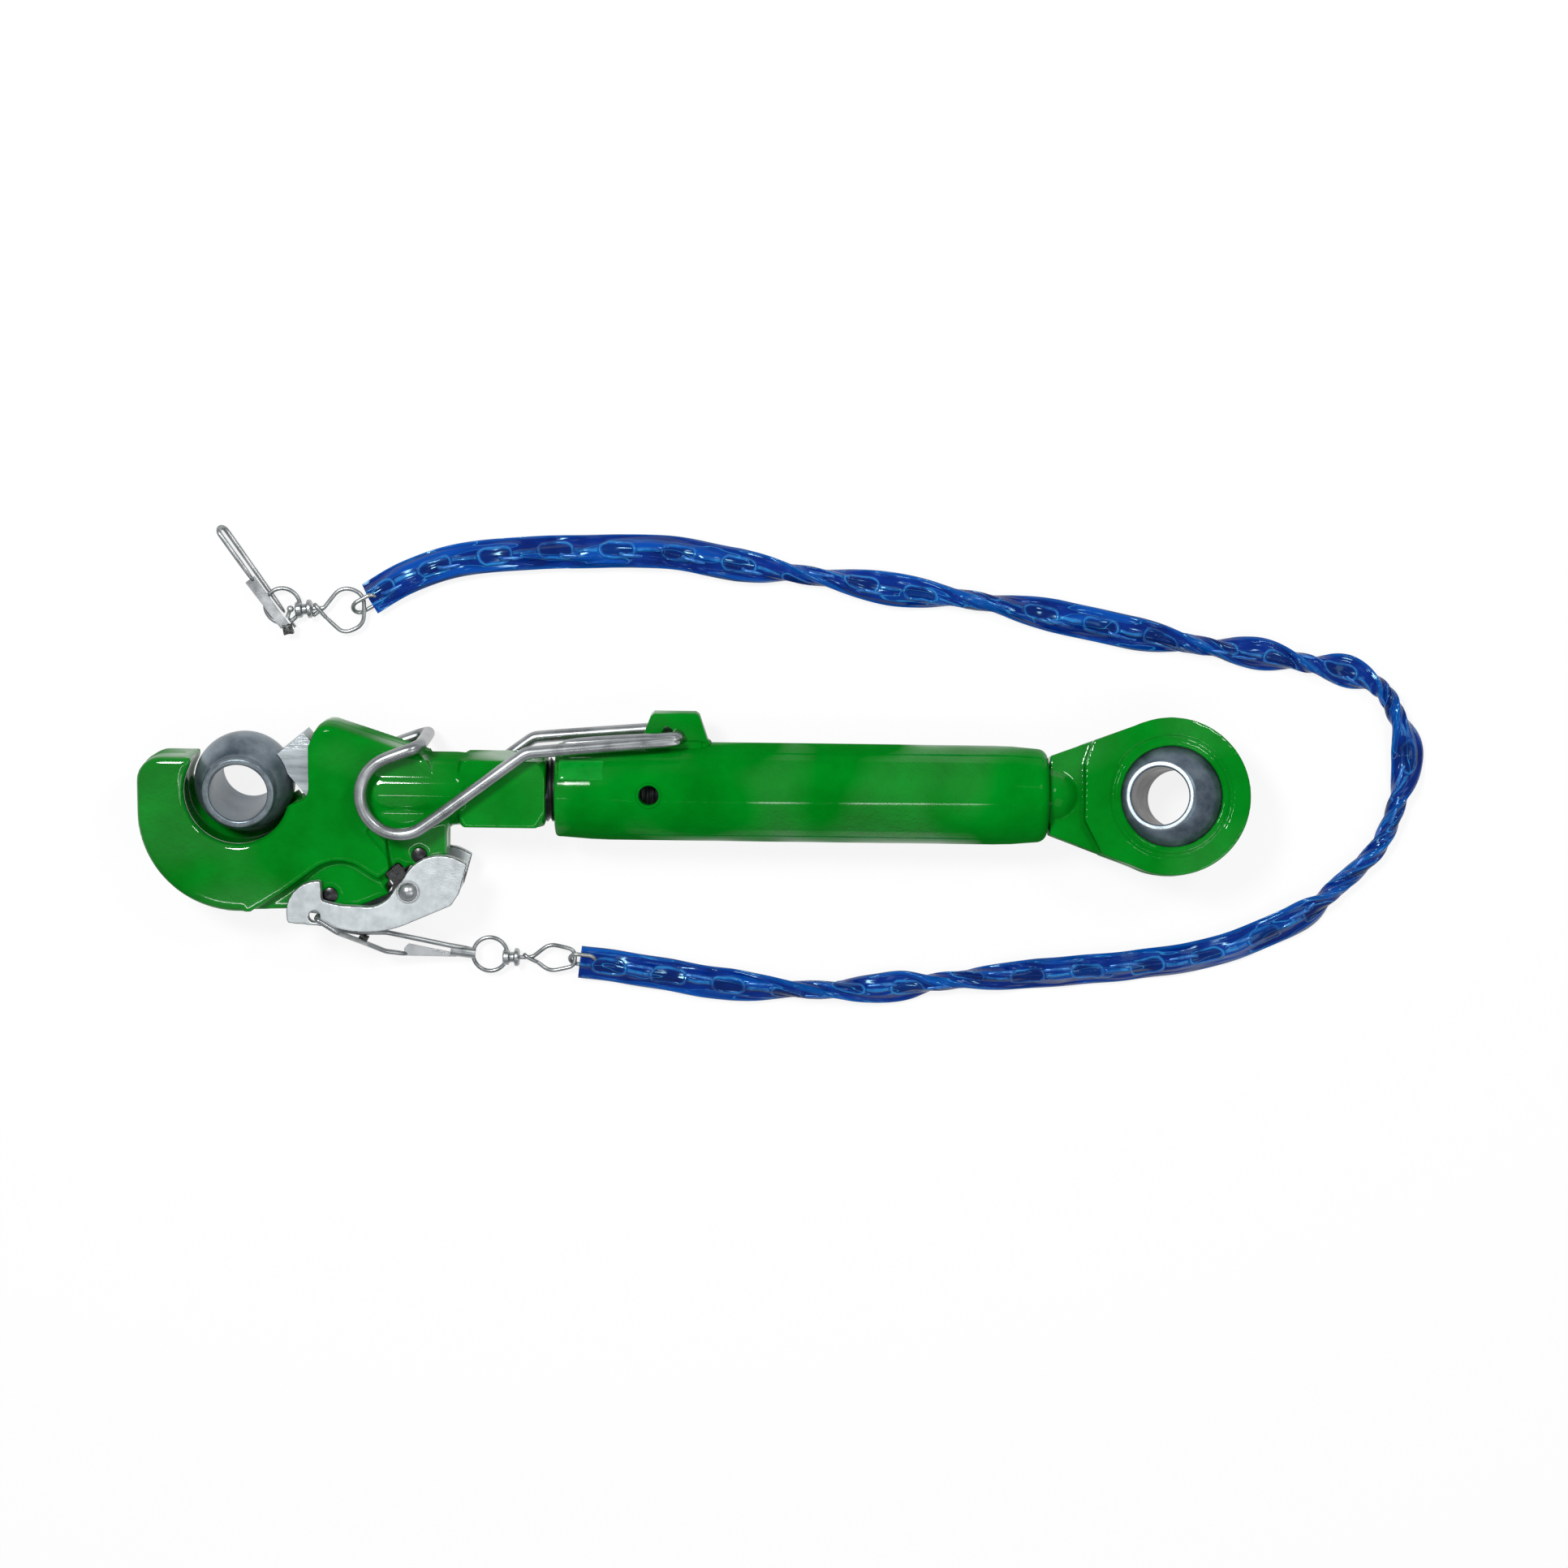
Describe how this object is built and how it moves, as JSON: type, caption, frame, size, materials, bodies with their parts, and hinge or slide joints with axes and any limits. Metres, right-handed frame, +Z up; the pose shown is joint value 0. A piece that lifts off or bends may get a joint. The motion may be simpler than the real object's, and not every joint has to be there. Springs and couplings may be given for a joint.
{
  "type": "tractor top link",
  "caption": "Adjustable three-point top link with a quick-release hook end, a ball-eye end, a turnbuckle tube with a wire lock bail, and a pull chain in a plastic sleeve.",
  "frame": {"origin": "centre of the eye ball, at the plain end of the link", "axes": "+X along the link from the hook to the eye, +Y across it in the plane of the hook, +Z up from the surface it lies on, along the hook's thickness"},
  "size_m": [0.7225, 0.2699, 0.0616],
  "materials": {
    "green_paint": "gloss",
    "zinc_plate": "bright zinc plate",
    "galvanised": "satin galvanised",
    "ball_steel": "turned",
    "spring_steel": "satin",
    "black_steel": "black oxide",
    "blue_plastic": "gloss, slightly translucent"
  },
  "bodies": {
    "hook": {"hook_body": "green_paint", "stop_pins": "black_steel", "pawl_spring": "spring_steel"},
    "guide_ball": {"guide_ball": "ball_steel"},
    "pawl": {"locking_pawl": "zinc_plate", "pawl_rod_end": "black_steel", "rod_end_pin": "zinc_plate", "lever_pin": "zinc_plate", "lever_washers": "zinc_plate"},
    "lever": {"release_lever": "galvanised"},
    "pull_chain": {"lower_snap_hook": "zinc_plate", "lower_snap_gate": "zinc_plate", "lower_snap_ring": "zinc_plate", "lower_swivel": "zinc_plate", "lower_pear_link": "zinc_plate", "lower_end_link": "zinc_plate", "chain_sleeve": "blue_plastic", "upper_end_link": "zinc_plate", "upper_pear_link": "zinc_plate", "upper_swivel": "zinc_plate", "upper_snap_ring": "zinc_plate", "upper_snap_gate": "zinc_plate", "upper_snap_hook": "zinc_plate"},
    "tube": {"turnbuckle_tube": "green_paint", "bail_bracket": "green_paint"},
    "bail": {"lock_bail": "zinc_plate"},
    "eye": {"eye_rod": "green_paint"},
    "eye_ball": {"eye_ball": "ball_steel"}
  },
  "joints": [
    {"name": "tube_travel", "type": "slide", "parent": "hook", "child": "tube", "axis": [1, 0, 0], "range_m": [0, 0.045]},
    {"name": "eye_travel", "type": "slide", "parent": "tube", "child": "eye", "axis": [1, 0, 0], "range_m": [0, 0.045]},
    {"name": "eye_ball_swivel", "type": "hinge", "parent": "eye", "child": "eye_ball", "pos_m": [0, 0, 0], "axis": [0, 0.9781, -0.2079], "range_deg": [-3, 37]},
    {"name": "bail_swing", "type": "hinge", "parent": "tube", "child": "bail", "pos_m": [-0.2745, 0.0321, 0], "axis": [0, 0, 1], "range_deg": [-27, 0]},
    {"name": "guide_ball_swivel", "type": "hinge", "parent": "hook", "child": "guide_ball", "pos_m": [-0.517, 0.0028, 0], "axis": [1, 0, 0], "range_deg": [-19.5, 6.5]},
    {"name": "pawl_slide", "type": "slide", "parent": "hook", "child": "pawl", "axis": [0.6347, -0.7727, 0], "range_m": [0, 0.018], "stiffness_N_per_m": 1500, "springref_m": -0.02, "deforming": ["pawl_spring"]},
    {"name": "lever_turn", "type": "hinge", "parent": "pawl", "child": "lever", "pos_m": [-0.42428, -0.05588, 0], "axis": [0, 0, 1], "range_deg": [0, 40]},
    {"name": "snap_swing", "type": "hinge", "parent": "lever", "child": "pull_chain", "pos_m": [-0.47678, -0.07088, 0.015], "axis": [0, 0, 1], "range_deg": [-40, 0]}
  ],
  "couplings": [
    {"joint": "eye_travel", "follows": "tube_travel", "ratio": 1},
    {"joint": "lever_turn", "follows": "pawl_slide", "rad_per_m": 38.7},
    {"joint": "snap_swing", "follows": "pawl_slide", "rad_per_m": -35.8}
  ]
}
